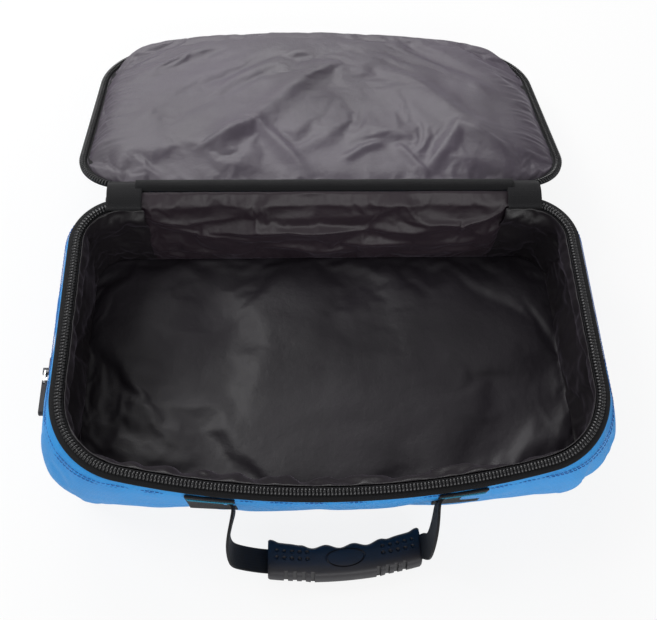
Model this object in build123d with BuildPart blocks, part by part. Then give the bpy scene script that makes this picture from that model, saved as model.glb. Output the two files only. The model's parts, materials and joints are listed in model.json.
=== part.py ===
from build123d import *
import os
from math import asin, atan2, cos, degrees, radians, sin, sqrt

# Ski boot bag: a padded fabric tub with a zip round its rim and a padded lid that falls open behind it.
# +Z is up, the handle is at -Y, the lid's hinge runs along X behind the back wall.
# The origin is on the floor under the middle of the base.

# Plan sizes at three heights: the base, the widest part of the walls and the zipped rim
rim_width = 420.0
rim_length = 259.0
rim_height = 106.0
rim_front_radius = 74.0
rim_back_radius = 42.0
rim_bow = 14.5
belly_bulge = 15.0
belly_height = 50.0
belly_length = 251.0
belly_front_radius = 40.0
belly_bow = 8.0
base_width = 422.0
base_length = 243.0
base_front_radius = 28.0
base_bow = 4.0
back_radius_below = 38.0

# Layers of the tub
shell_thickness = 1.2
foam_thickness = 6.0
lining_thickness = 0.8
layer_gap = 0.2
seam_gap = 0.3
spare_cut = 1.0
base_thickness = 2.0
board_thickness = 2.5
board_margin = 10.0
pad_thickness = 11.0
front_reach = 84.0

# Zip round the rim
tape_thickness = 1.0
tape_overhang = 1.0
tape_inner = 9.2
coil_width = 6.0
coil_height = 2.8
coil_drop = 2.4
zip_end = 158.0
running_gap = 0.4

# Lid
lid_depth = 32.0
lid_crown = 13.0
lid_wall_inset = 9.0
lid_lining_rise = 11.0
lid_lining_inset = 17.0
lid_lining_crown = 31.0
lid_tape_reach = 3.0
lid_back_gap = 8.0
lid_spread = 4.0
floor_clearance = 0.4

# Parked sliders of the main zip
main_slider_x = 180.0
main_slider_length = 12.0
main_pull_gap = 0.7
main_slider_proud = 0.4
main_puller_corner = 2.6

# Hinge
hinge_offset = 6.2
hinge_radius = 5.0
hinge_web = 2.4
tab_length = 26.0
tab_corner = 4.0
tab_thickness = 1.6

# Carrying handle
strap_width = 20.0
strap_thickness = 2.2
strap_spread = 75.0
patch_width = 38.0
patch_height = 33.0
patch_thickness = 1.6
patch_drop = 6.0
stitch_margin = 1.0
root_depth = 6.0
handle_stand_off = 13.5
handle_height = 78.0
handle_reach = 67.0
strap_bend = 14.0
grip_length = 122.0
grip_depth = 21.0
grip_height = 27.0
grip_end_share = 0.82
grip_shoulder = 0.25
grip_corner = 8.0
handle_floor_gap = 0.6

# Side pocket zips
side_zip_start = 140.0
side_zip_length = 104.0
side_tape_height = 24.0
side_coil_height = 6.0
side_coil_thickness = 2.0
slider_length = 15.0
slider_height = 11.0
slider_wall = 1.4
slider_seat = 9.0
slider_corner = 2.5
bail_seat = 4.0
bail_length = 5.6
bail_reach = 6.0
bail_height = 2.4
bail_gap = 2.0
eye_radius = 1.2
eye_clearance = 0.55
ring_length = 13.0
ring_width = 7.0
ring_wire = 1.4
ring_corner = 3.0
puller_length = 30.0
puller_width = 6.5
puller_thickness = 3.2
puller_corner = 2.6
puller_lap = 3.1

# Worked out from the values above
belly_width = rim_width + 2 * belly_bulge
back_y = base_length / 2
tape_top = rim_height - coil_drop - coil_height - layer_gap
tape_bottom = tape_top - tape_thickness
wall_top = tape_bottom - layer_gap
coil_bottom = tape_top + layer_gap
coil_top = coil_bottom + coil_height
coil_outer = tape_inner - coil_width
main_pin_z = coil_bottom + coil_height / 2
foam_inset = shell_thickness + layer_gap
lining_inset = foam_inset + foam_thickness + layer_gap
wall_thickness = lining_inset + lining_thickness
wall_bottom = base_thickness + layer_gap
board_bottom = base_thickness + layer_gap
pad_bottom = board_bottom + board_thickness + layer_gap
pad_top = pad_bottom + pad_thickness
floor_top = pad_top + layer_gap + lining_thickness
hinge_y = back_y + hinge_offset
seam_x = rim_width / 2 - rim_back_radius

# Droop of the lid: its outer panel's far edge comes down to the floor
lid_far = lid_back_gap + rim_length - lid_wall_inset - lid_crown
lid_droop = asin((rim_height - floor_clearance) / sqrt(lid_far**2 + lid_depth**2)) - atan2(lid_depth, lid_far)
lid_plane = Plane(origin=(0, hinge_y, rim_height), x_dir=(1, 0, 0), z_dir=(0, sin(lid_droop), cos(lid_droop)))
print("lid droop", round(degrees(lid_droop), 2), "degrees, closed at", round(180 + degrees(lid_droop), 2))

# The handle hangs from its two anchors until the grip lies on the floor
pivot_y = back_y - rim_length - handle_stand_off
grip_rest = grip_height / 2 + handle_floor_gap
handle_drop = asin((handle_height - grip_rest) / handle_reach)
handle_plane = Plane(
    origin=(0, pivot_y, handle_height), x_dir=(1, 0, 0), z_dir=(0, -sin(handle_drop), cos(handle_drop))
)
print("handle slope", round(degrees(handle_drop), 2), "degrees")


def outline(plane, width, length, front_radius, back_radius, bow, inset=0.0, ahead=-1):
    """Bag outline on a plane: straight back, rounded corners and a front that bows out.
    The back line lies on the plane's X axis, and the front is at -Y, or at +Y with ahead=1."""
    half = width / 2 - inset
    front_r = front_radius - inset
    back_r = back_radius - inset
    turn = radians(bow)
    front_big = front_r + (half - front_r) / sin(turn)
    side_end = -(length - inset) + front_big - (front_big - front_r) * cos(turn)
    with BuildSketch(plane) as sketch:
        with BuildLine() as edges:
            back = Line((-half + back_r, -inset), (half - back_r, -inset))
            corner = JernArc(back @ 1, (1, 0), back_r, -90)
            side = Line(corner @ 1, (half, side_end))
            front_corner = JernArc(side @ 1, (0, -1), front_r, -(90 - bow))
            front = JernArc(front_corner @ 1, front_corner % 1, front_big, -2 * bow)
            other_corner = JernArc(front @ 1, front % 1, front_r, -(90 - bow))
            other_side = Line(other_corner @ 1, (-half, -inset - back_r))
            JernArc(other_side @ 1, (0, 1), back_r, -90)
            if ahead == 1:
                mirror(about=Plane.XZ, mode=Mode.REPLACE)
        make_face()
    return sketch.sketch


def share(low, high, t):
    return low + (high - low) * t


def tub_section(z, inset):
    """Outline of the tub at a height: straight between base, belly and rim."""
    if z <= belly_height:
        t = z / belly_height
        width = share(base_width, belly_width, t)
        length = share(base_length, belly_length, t)
        front_radius = share(base_front_radius, belly_front_radius, t)
        back_radius = back_radius_below
        bow = share(base_bow, belly_bow, t)
    else:
        t = (z - belly_height) / (rim_height - belly_height)
        width = share(belly_width, rim_width, t)
        length = share(belly_length, rim_length, t)
        front_radius = share(belly_front_radius, rim_front_radius, t)
        back_radius = share(back_radius_below, rim_back_radius, t)
        bow = share(belly_bow, rim_bow, t)
    plane = Plane(origin=(0, back_y, z))
    return outline(plane, width, length, front_radius, back_radius, bow, inset)


def tub_block(inset, low, high):
    """Solid tub, drawn in by an inset, between two heights."""
    heights = [low] + [z for z in (belly_height,) if low + spare_cut < z < high - spare_cut] + [high]
    with BuildPart() as block:
        for z in heights:
            add(tub_section(z, inset))
        loft(ruled=True)
    return block.part


def tub_layer(outer_inset, thickness, low, high):
    """Ring of wall between two insets, open at the top and the bottom."""
    with BuildPart() as layer:
        add(tub_block(outer_inset, low, high))
        add(tub_block(outer_inset + thickness, low, high), mode=Mode.SUBTRACT)
    return layer.part


def rim_ring(outer_inset, inner_inset, low, high):
    """Flat ring that follows the rim's outline."""
    plane = Plane(origin=(0, back_y, low))
    sizes = (rim_width, rim_length, rim_front_radius, rim_back_radius, rim_bow)
    with BuildPart() as ring:
        add(outline(plane, *sizes, outer_inset))
        extrude(amount=high - low)
        add(outline(plane, *sizes, inner_inset))
        extrude(amount=high - low, mode=Mode.SUBTRACT)
    return ring.part


def block(x_low, x_high, y_low, y_high, z_low, z_high):
    """Straight block between two corners."""
    with BuildPart() as solid:
        with Locations(((x_low + x_high) / 2, (y_low + y_high) / 2, (z_low + z_high) / 2)):
            Box(x_high - x_low, y_high - y_low, z_high - z_low)
    return solid.part


def finish(piece, name):
    piece.part.label = name
    export_step(piece.part, "parts/" + name + ".step")


os.makedirs("parts", exist_ok=True)
wide = rim_width
tall = 2 * rim_height
side_back = back_y - wall_thickness - seam_gap
side_front = back_y - rim_length + front_reach
seam_half = seam_x - seam_gap / 2

# ---------------------------------------------------------------- base of the tub
with BuildPart() as base_panel:
    add(tub_block(0, 0, base_thickness))
finish(base_panel, "base_panel")

with BuildPart() as base_board:
    add(tub_block(board_margin, board_bottom, board_bottom + board_thickness))
finish(base_board, "base_board")

with BuildPart() as floor_pad:
    add(tub_block(wall_thickness + seam_gap, pad_bottom, pad_top))
finish(floor_pad, "floor_pad")

with BuildPart() as floor_lining:
    add(tub_block(wall_thickness + seam_gap, pad_top + layer_gap, floor_top))
finish(floor_lining, "floor_lining")


# ---------------------------------------------------------------- walls of the tub
# Each layer is cut into a front, two sides that wrap the back corners, and a flat back
def front_zone():
    return block(-wide, wide, -wide, side_front - seam_gap / 2, -spare_cut, tall)


def side_zone(side):
    x_low, x_high = sorted((0, side * wide))
    x_in, x_out = sorted((-side, side * (seam_half + seam_gap)))
    with BuildPart() as zone:
        add(block(x_low, x_high, side_front + seam_gap / 2, wide, -spare_cut, tall))
        add(block(x_in, x_out, side_back, wide, -spare_cut, tall), mode=Mode.SUBTRACT)
    return zone.part


def back_zone(inner):
    return block(-seam_half, seam_half, back_y - inner, wide, -spare_cut, tall)


layers = {
    "wall": (0, shell_thickness, wall_bottom),
    "foam": (foam_inset, foam_thickness, pad_bottom),
}
for layer_name, (inset, thickness, low) in layers.items():
    ring = tub_layer(inset, thickness, low, wall_top)
    with BuildPart() as front_piece:
        add(ring)
        add(front_zone(), mode=Mode.INTERSECT)
    finish(front_piece, "front_" + layer_name)
    for side, side_name in ((-1, "left"), (1, "right")):
        with BuildPart() as side_piece:
            add(ring)
            add(side_zone(side), mode=Mode.INTERSECT)
        finish(side_piece, "side_" + layer_name + "_" + side_name)
    with BuildPart() as back_piece:
        add(ring)
        add(back_zone(wall_thickness), mode=Mode.INTERSECT)
    finish(back_piece, "back_" + layer_name)

lining_ring = tub_layer(lining_inset, lining_thickness, floor_top + layer_gap, wall_top)
with BuildPart() as wall_lining:
    add(lining_ring)
    add(block(-seam_x, seam_x, side_back, wide, -spare_cut, tall), mode=Mode.SUBTRACT)
finish(wall_lining, "wall_lining")

with BuildPart() as back_lining:
    add(lining_ring)
    add(back_zone(wall_thickness), mode=Mode.INTERSECT)
finish(back_lining, "back_lining")

# ---------------------------------------------------------------- zip round the tub's rim
# It starts and ends on the back edge, at the two ends of the hinge
hinge_span = block(-zip_end, zip_end, back_y - rim_back_radius, wide, 0, tall)

with BuildPart() as tub_zip_tape:
    add(rim_ring(-tape_overhang, tape_inner, tape_bottom, tape_top))
    add(hinge_span, mode=Mode.SUBTRACT)
finish(tub_zip_tape, "tub_zip_tape")

with BuildPart() as tub_zip_coil:
    add(rim_ring(coil_outer, tape_inner, coil_bottom, coil_top))
    add(hinge_span, mode=Mode.SUBTRACT)
finish(tub_zip_coil, "tub_zip_coil")

# Binding that closes the top of the back wall between the two zip ends
with BuildPart() as back_binding:
    add(
        block(
            -zip_end + seam_gap,
            zip_end - seam_gap,
            back_y - wall_thickness,
            back_y + tape_overhang,
            tape_bottom,
            tape_top,
        )
    )
finish(back_binding, "back_binding")

# ---------------------------------------------------------------- hinge
hinge_half = zip_end - seam_gap
with BuildPart() as hinge_strip:
    with BuildSketch(Plane(origin=(-hinge_half, hinge_y, rim_height), x_dir=(0, 1, 0), z_dir=(1, 0, 0))):
        Circle(hinge_radius)
        web_height = coil_drop + coil_height
        with Locations((-hinge_offset / 2, -web_height / 2)):
            Rectangle(hinge_offset, tape_thickness + layer_gap)
        with Locations((-hinge_offset + hinge_web / 2, -web_height / 2 - layer_gap)):
            Rectangle(hinge_web, web_height - layer_gap)
    extrude(amount=2 * hinge_half)
finish(hinge_strip, "hinge_strip")

# ---------------------------------------------------------------- lid, built on its own plane
def lid_block(inset_low, inset_high, low, high):
    """Solid lid slice on the lid's plane; its front points away from the hinge."""
    sizes = (rim_width + 2 * lid_spread, rim_length, rim_front_radius, rim_back_radius, rim_bow)
    with BuildPart() as slice_:
        for height, inset in ((low, inset_low), (high, inset_high)):
            level = lid_plane.offset(height)
            start = level.from_local_coords((0, lid_back_gap, 0))
            add(outline(level.shift_origin(start), *sizes, inset, ahead=1))
        loft(ruled=True)
    return slice_.part


def crown_inset(depth):
    """Inset of the lid's wall at a depth below the lid plane."""
    return lid_wall_inset + lid_crown * depth / lid_depth


lid_coil_bottom = -coil_drop - coil_height
lid_tape_top = lid_coil_bottom - layer_gap
lid_tape_bottom = lid_tape_top - tape_thickness
lid_wall_top = lid_tape_bottom - layer_gap
lid_panel_top = -lid_depth + shell_thickness
lid_inner = shell_thickness + layer_gap

with BuildPart() as lid_panel:
    add(lid_block(crown_inset(lid_depth), crown_inset(-lid_panel_top), -lid_depth, lid_panel_top))
finish(lid_panel, "lid_panel")

low = lid_panel_top + layer_gap
inset_low = crown_inset(-low)
inset_high = crown_inset(-lid_wall_top)
with BuildPart() as lid_wall:
    add(lid_block(inset_low, inset_high, low, lid_wall_top))
    add(
        lid_block(inset_low + shell_thickness, inset_high + shell_thickness, low, lid_wall_top),
        mode=Mode.SUBTRACT,
    )
finish(lid_wall, "lid_wall")

with BuildPart() as lid_foam:
    add(lid_block(inset_low + lid_inner, inset_high + lid_inner, low, lid_wall_top))
finish(lid_foam, "lid_foam")

with BuildPart() as lid_zip_tape:
    add(lid_block(-lid_tape_reach, -lid_tape_reach, lid_tape_bottom, lid_tape_top))
    tape_hole = lid_lining_inset - seam_gap
    add(lid_block(tape_hole, tape_hole, lid_tape_bottom, lid_tape_top), mode=Mode.SUBTRACT)
finish(lid_zip_tape, "lid_zip_tape")

with BuildPart() as lid_zip_coil:
    add(lid_block(-lid_tape_reach, -lid_tape_reach, lid_coil_bottom, -coil_drop))
    coil_inner = -lid_tape_reach + coil_width
    add(lid_block(coil_inner, coil_inner, lid_coil_bottom, -coil_drop), mode=Mode.SUBTRACT)
    with BuildSketch(lid_plane.offset(lid_coil_bottom)):
        with Locations((0, rim_back_radius / 2)):
            Rectangle(2 * zip_end, rim_back_radius)
    extrude(amount=coil_height, mode=Mode.SUBTRACT)
finish(lid_zip_coil, "lid_zip_coil")

skin = lining_thickness + layer_gap
with BuildPart() as lid_padding:
    add(lid_block(lid_lining_inset + skin, lid_lining_inset + skin, lid_tape_bottom, lid_tape_top))
    add(lid_block(lid_lining_inset + skin, lid_lining_crown + skin, lid_tape_top, lid_lining_rise - skin))
finish(lid_padding, "lid_padding")

with BuildPart() as lid_lining:
    add(lid_block(lid_lining_inset, lid_lining_inset, lid_tape_bottom, lid_tape_top))
    add(lid_block(lid_lining_inset, lid_lining_crown, lid_tape_top, lid_lining_rise))
    inner = lid_lining_inset + lining_thickness
    inner_crown = lid_lining_crown + lining_thickness
    add(lid_block(inner, inner, lid_tape_bottom, lid_tape_top), mode=Mode.SUBTRACT)
    add(lid_block(inner, inner_crown, lid_tape_top, lid_lining_rise - lining_thickness), mode=Mode.SUBTRACT)
finish(lid_lining, "lid_lining")

# ---------------------------------------------------------------- tabs that close the zip's two ends
for side, side_name in ((-1, "left"), (1, "right")):
    x_in = zip_end + seam_gap
    with BuildPart() as tab:
        with BuildSketch(Plane.XY.offset(coil_top + layer_gap)):
            with Locations((side * (x_in + tab_length / 2), back_y - tape_inner / 2)):
                RectangleRounded(tab_length, tape_inner, tab_corner)
        extrude(amount=tab_thickness)
    finish(tab, "zip_end_tab_" + side_name)

# ---------------------------------------------------------------- parked sliders of the main zip
# Each stands on the zip's back corner, with its pull hanging outside behind the wall
for side, side_name in ((-1, "left"), (1, "right")):
    x_mid = side * main_slider_x
    with BuildPart() as main_slider:
        add(
            block(
                x_mid - main_slider_length / 2,
                x_mid + main_slider_length / 2,
                back_y - coil_outer + running_gap,
                back_y + main_slider_proud,
                coil_bottom,
                coil_top,
            )
        )
        channel = (coil_outer - running_gap, tape_inner + running_gap)
        add(rim_ring(*channel, coil_bottom - spare_cut, coil_top + spare_cut), mode=Mode.SUBTRACT)
        pin_start = back_y + main_slider_proud / 2
        with BuildSketch(Plane(origin=(x_mid, pin_start, main_pin_z), x_dir=(1, 0, 0), z_dir=(0, 1, 0))):
            Circle(eye_radius)
        extrude(amount=main_pull_gap + puller_thickness)
    finish(main_slider, "main_slider_" + side_name)

    with BuildPart() as main_puller:
        pull_y = pin_start + main_pull_gap
        with BuildSketch(Plane(origin=(x_mid, pull_y, main_pin_z), x_dir=(1, 0, 0), z_dir=(0, -1, 0))):
            with Locations((0, -puller_length / 2 + puller_width / 2)):
                RectangleRounded(puller_width, puller_length, main_puller_corner)
            Circle(eye_radius + running_gap, mode=Mode.SUBTRACT)
        extrude(amount=-(puller_thickness - running_gap))
    finish(main_puller, "main_puller_" + side_name)

# ---------------------------------------------------------------- handle
def front_skin(inset, thickness, x_mid, width, z_low, z_high):
    """Patch that lies on the front wall."""
    with BuildPart() as skin:
        add(tub_layer(inset, thickness, z_low, z_high))
        add(block(x_mid - width / 2, x_mid + width / 2, -wide, 0, -spare_cut, tall), mode=Mode.INTERSECT)
    return skin.part


patch_top = wall_top - patch_drop
patch_bottom = patch_top - patch_height
strap_low = handle_height - strap_width / 2
strap_high = handle_height + strap_width / 2
patch_inset = -layer_gap - patch_thickness
root_inset = patch_inset - layer_gap - strap_thickness
for side, side_name in ((-1, "left"), (1, "right")):
    patch_mid = side * (strap_spread + strap_thickness / 2 + patch_width / 2)
    with BuildPart() as patch:
        add(front_skin(patch_inset, patch_thickness, patch_mid, patch_width, patch_bottom, patch_top))
    finish(patch, "handle_patch_" + side_name)

    # The strap's sewn end lies on the patch, then turns out from the wall to the pivot
    with BuildPart() as strap_root:
        sewn_width = patch_width - 2 * stitch_margin
        add(front_skin(root_inset, strap_thickness, patch_mid, sewn_width, strap_low, strap_high))
        x_low, x_high = sorted(
            (side * (strap_spread + strap_thickness / 2), side * (strap_spread + strap_thickness * 3 / 2))
        )
        y_low = pivot_y - strap_width / 2
        y_high = back_y - rim_length + root_depth
        add(block(x_low, x_high, y_low, y_high, strap_low, strap_high))
        behind = tub_block(patch_inset - layer_gap, strap_low - spare_cut, strap_high + spare_cut)
        add(behind, mode=Mode.SUBTRACT)
    finish(strap_root, "strap_root_" + side_name)

# One length of webbing from pivot to pivot, edge-on, passing through the grip
leg_x = strap_spread - seam_gap
with BuildPart() as handle_webbing:
    with BuildLine(handle_plane) as strap_path:
        left_leg = Line((-leg_x, strap_width / 2), (-leg_x, -handle_reach + strap_bend))
        left_bend = JernArc(left_leg @ 1, (0, -1), strap_bend, 90)
        across = Line(left_bend @ 1, (leg_x - strap_bend, -handle_reach))
        right_bend = JernArc(across @ 1, (1, 0), strap_bend, 90)
        Line(right_bend @ 1, (leg_x, strap_width / 2))
    strap_wire = strap_path.wires()[0]
    with BuildSketch(Plane(origin=left_leg @ 0, x_dir=handle_plane.z_dir, z_dir=left_leg % 0)):
        Rectangle(strap_width, strap_thickness)
    sweep(path=strap_wire)
finish(handle_webbing, "handle_webbing")

grip_plane = Plane(
    origin=handle_plane.from_local_coords((0, -handle_reach, 0)), x_dir=handle_plane.z_dir, z_dir=(1, 0, 0)
)
with BuildPart() as handle_grip:
    stations = ((-0.5, grip_end_share), (-grip_shoulder, 1.0), (grip_shoulder, 1.0), (0.5, grip_end_share))
    for along, scale_ in stations:
        with BuildSketch(grip_plane.offset(along * grip_length)):
            RectangleRounded(grip_height * scale_, grip_depth * scale_, grip_corner * scale_)
    loft(ruled=True)
    with BuildSketch(grip_plane.offset(-grip_length / 2 - spare_cut)):
        Rectangle(strap_width + 2 * layer_gap, strap_thickness + 2 * layer_gap)
    extrude(amount=grip_length + 2 * spare_cut, mode=Mode.SUBTRACT)
finish(handle_grip, "handle_grip")

# ---------------------------------------------------------------- side pocket zips, sliders and pulls
zip_front = back_y - side_zip_start
zip_back = zip_front + side_zip_length
belly_x = belly_width / 2
side_tape_inset = -layer_gap - tape_thickness
side_coil_inset = side_tape_inset - layer_gap - side_coil_thickness


def side_skin(side, inset, thickness, height):
    """Strip that lies along a side wall at the belly."""
    low = belly_height - height / 2
    with BuildPart() as skin:
        add(tub_layer(inset, thickness, low, low + height))
        x_low, x_high = sorted((0, side * wide))
        add(block(x_low, x_high, zip_front, zip_back, -spare_cut, tall), mode=Mode.INTERSECT)
    return skin.part


for side, side_name in ((-1, "left"), (1, "right")):
    with BuildPart() as side_tape:
        add(side_skin(side, side_tape_inset, tape_thickness, side_tape_height))
    finish(side_tape, "side_zip_tape_" + side_name)

    with BuildPart() as side_coil:
        add(side_skin(side, side_coil_inset, side_coil_thickness, side_coil_height))
    finish(side_coil, "side_zip_coil_" + side_name)

    coil_face = belly_x - side_coil_inset
    tape_face = belly_x - side_tape_inset
    slider_mid = zip_front + slider_seat
    slider_face = coil_face + running_gap + slider_wall
    with BuildPart() as side_slider:
        x_low, x_high = sorted((side * (tape_face + running_gap), side * slider_face))
        y_low = slider_mid - slider_length / 2
        y_high = y_low + slider_length
        half_height = slider_height / 2
        add(block(x_low, x_high, y_low, y_high, belly_height - half_height, belly_height + half_height))
        fillet(side_slider.edges().filter_by(Axis.X), slider_corner)
        channel = side_coil_height / 2 + running_gap
        x_low, x_high = sorted((side * belly_x, side * (coil_face + running_gap)))
        y_low_cut = y_low - spare_cut
        y_high_cut = y_high + spare_cut
        add(
            block(x_low, x_high, y_low_cut, y_high_cut, belly_height - channel, belly_height + channel),
            mode=Mode.SUBTRACT,
        )
        # Bail with its eye, on the slider's face
        eye_x = side * (slider_face + eye_radius + bail_gap)
        eye_y = y_low + bail_seat
        with BuildSketch(Plane.XY.offset(belly_height - bail_height / 2)):
            with Locations((side * (slider_face + bail_reach / 2 - layer_gap), eye_y)):
                Rectangle(bail_reach, bail_length)
        extrude(amount=bail_height)
        with Locations(Plane(origin=(eye_x, eye_y, belly_height))):
            Cylinder(eye_radius + eye_clearance, bail_height + spare_cut, mode=Mode.SUBTRACT)
    finish(side_slider, "side_slider_" + side_name)

    # Wire ring through the bail, with the moulded pull looped on its other end
    with BuildPart() as pull_ring:
        ring_y = eye_y - ring_length / 2 + eye_radius
        with BuildSketch(Plane(origin=(eye_x, ring_y, belly_height), x_dir=(0, 1, 0), z_dir=(1, 0, 0))):
            RectangleRounded(ring_length, ring_width, ring_corner)
            RectangleRounded(
                ring_length - 2 * ring_wire, ring_width - 2 * ring_wire, ring_corner / 2, mode=Mode.SUBTRACT
            )
        extrude(amount=ring_wire / 2, both=True)
    finish(pull_ring, "pull_ring_" + side_name)

    with BuildPart() as puller:
        bar_y = eye_y + eye_radius - ring_length + ring_wire
        puller_end = bar_y + puller_lap - ring_wire / 2
        with BuildSketch(
            Plane(
                origin=(eye_x, puller_end - puller_length / 2, belly_height), x_dir=(0, 1, 0), z_dir=(1, 0, 0)
            )
        ):
            RectangleRounded(puller_length, puller_width, puller_corner)
        extrude(amount=puller_thickness / 2, both=True)
        slot = ring_wire / 2 + seam_gap
        add(
            block(
                eye_x - slot,
                eye_x + slot,
                bar_y - ring_wire - seam_gap,
                puller_end + spare_cut,
                belly_height - ring_width,
                belly_height + ring_width,
            ),
            mode=Mode.SUBTRACT,
        )
    finish(puller, "puller_" + side_name)
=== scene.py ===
import bpy
import json
import numpy as np
from math import asin, cos, pi, radians, sin
from mathutils import Matrix, Vector, noise


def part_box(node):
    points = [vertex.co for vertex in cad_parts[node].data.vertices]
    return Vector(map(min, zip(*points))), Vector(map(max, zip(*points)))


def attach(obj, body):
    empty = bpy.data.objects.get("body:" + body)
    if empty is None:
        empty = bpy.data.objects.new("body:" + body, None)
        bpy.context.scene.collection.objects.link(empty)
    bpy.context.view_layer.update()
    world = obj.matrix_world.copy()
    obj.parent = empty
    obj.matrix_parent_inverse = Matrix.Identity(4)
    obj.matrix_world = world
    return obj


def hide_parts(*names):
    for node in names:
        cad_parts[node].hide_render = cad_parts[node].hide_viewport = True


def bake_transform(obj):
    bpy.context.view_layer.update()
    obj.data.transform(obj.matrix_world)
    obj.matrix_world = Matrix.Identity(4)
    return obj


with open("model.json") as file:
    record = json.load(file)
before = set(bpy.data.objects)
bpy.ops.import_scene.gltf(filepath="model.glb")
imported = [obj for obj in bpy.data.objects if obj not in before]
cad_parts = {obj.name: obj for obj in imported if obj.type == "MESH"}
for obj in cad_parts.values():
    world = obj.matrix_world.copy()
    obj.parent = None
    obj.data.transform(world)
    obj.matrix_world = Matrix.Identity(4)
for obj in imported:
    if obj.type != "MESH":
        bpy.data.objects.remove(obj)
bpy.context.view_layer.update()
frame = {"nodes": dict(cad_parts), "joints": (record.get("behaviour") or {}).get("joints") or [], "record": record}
mm = 0.001

# plan sizes of the bag, as on the paper pattern it is cut from, in millimetres
bag = {
    "rim": (420, 259, 74, 42, 14.5),  # width, length, front corner, back corner, bow in degrees
    "belly": (450, 251, 38, 38, 8.0),
    "base": (422, 243, 27, 38, 4.0),
    "bellyHeight": 50,
    "lid": (428, 259, 74, 42, 14.5),
    "lidGap": 8.0,  # from the hinge line to the lid's back edge
    "tapeBelow": 5.4,  # from the rim down to the zip tape
    "middle": 128,  # from the back wall forward to the middle of the floor
}
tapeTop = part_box("tub_zip_tape")[1].z / mm
rimHeight = tapeTop + bag["tapeBelow"]
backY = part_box("back_wall")[1].y / mm
tubMiddle = np.array([0, backY - bag["middle"], 0])
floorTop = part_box("floor_lining")[1].z / mm
hinge = next(joint for joint in frame["joints"] if joint["name"] == "lid_hinge")
hingeY = hinge["pos_m"][1] / mm
droop = radians(hinge["range_deg"][1] - 180)
swing = next(joint for joint in frame["joints"] if joint["name"] == "handle_swing")
pivotY = swing["pos_m"][1] / mm
pivotZ = swing["pos_m"][2] / mm


# small tools for shapes
def mix(a, b, t):
    return a + (b - a) * t


def smooth(low, high, x):
    t = np.clip((x - low) / (high - low), 0, 1)
    return t * t * (3 - 2 * t)


def bump(x, centre, width):
    return np.exp(-(((x - centre) / width) ** 2))


def ripple(points, scale, seed=0):
    # smooth noise at each point, the same every run
    shift = Vector((seed * 17.3, seed * 5.1, seed * 9.7))
    return np.array([noise.noise(Vector(p) / scale + shift) for p in points])


def crease(x, y, path, width, height):
    # a soft ridge along a path, fading out at both of its ends
    total = np.zeros(len(x))
    count = len(path) - 1
    for index, ((ax, ay), (bx, by)) in enumerate(zip(path[:-1], path[1:])):
        dx, dy = bx - ax, by - ay
        f = np.clip(((x - ax) * dx + (y - ay) * dy) / (dx * dx + dy * dy), 0, 1)
        far = np.hypot(x - ax - f * dx, y - ay - f * dy)
        run = (index + f) / count
        taper = smooth(0, 0.25, run) * smooth(1, 0.75, run)
        total = np.maximum(total, height * taper * np.exp(-((far / width) ** 2)))
    return total


# shares of half the way round: back, back corner, side, front corner, front
legs = (0.13, 0.055, 0.135, 0.075, 0.105)
legEnds = np.cumsum((0, *[leg / sum(legs) for leg in legs]))


def outline(size, inset, t):
    # a point on the bag's outline: t runs 0 to 1 from the middle of the back, right side first
    width, length, front, back, bow = size
    turn = np.radians(bow)
    half = width / 2 - inset
    frontR = front - inset
    backR = back - inset
    bigR = frontR + (half - frontR) / np.sin(turn)
    sideEnd = -(length - inset) + bigR - (bigR - frontR) * np.cos(turn)
    bigY = -(length - inset) + bigR
    flip = np.where(t > 0.5, -1.0, 1.0)
    s = np.where(t > 0.5, 1 - t, t) * 2
    leg = np.clip(np.searchsorted(legEnds, s, side="right") - 1, 0, 4)
    f = (s - legEnds[leg]) / (legEnds[leg + 1] - legEnds[leg])
    backTurn = f * pi / 2
    frontTurn = f * (pi / 2 - turn)
    bowTurn = (1 - f) * turn
    x = np.select(
        [leg == 0, leg == 1, leg == 2, leg == 3, leg == 4],
        [f * (half - backR), half - backR + backR * np.sin(backTurn), half + 0 * f,
         half - frontR + frontR * np.cos(frontTurn), bigR * np.sin(bowTurn)],
    )
    y = np.select(
        [leg == 0, leg == 1, leg == 2, leg == 3, leg == 4],
        [-inset + 0 * f, -inset - backR + backR * np.cos(backTurn), mix(-inset - backR, sideEnd, f),
         sideEnd - frontR * np.sin(frontTurn), bigY - bigR * np.cos(bowTurn)],
    )
    return x * flip, y


def tubSize(z):
    # the wall's outline at a height, rounded over between base, belly and rim
    low = z / bag["bellyHeight"]
    high = (z - bag["bellyHeight"]) / (rimHeight - bag["bellyHeight"])
    sizes = []
    for base, belly, rim in zip(bag["base"], bag["belly"], bag["rim"]):
        below = mix(base, belly, 1 - (1 - np.clip(low, 0, 1)) ** 2)
        above = mix(belly, rim, np.clip(high, 0, 1) ** 1.7)
        sizes.append(np.where(z < bag["bellyHeight"], below, above))
    return sizes


def tubPoint(t, z, inset):
    x, y = outline(tubSize(z), inset, t)
    return np.stack([x, y + backY, z + 0 * x], 1)


def lidPoint(t, height, inset):
    # a point of the lid, height measured up from the lid's own plane
    x, y = outline(bag["lid"], inset, t)
    return fromLid(x, bag["lidGap"] - y, height)


def fromLid(x, along, height):
    y = hingeY + along * cos(droop) + height * sin(droop)
    z = rimHeight - along * sin(droop) + height * cos(droop)
    return np.stack([x + 0 * y, y, z + 0 * x], 1)


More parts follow.
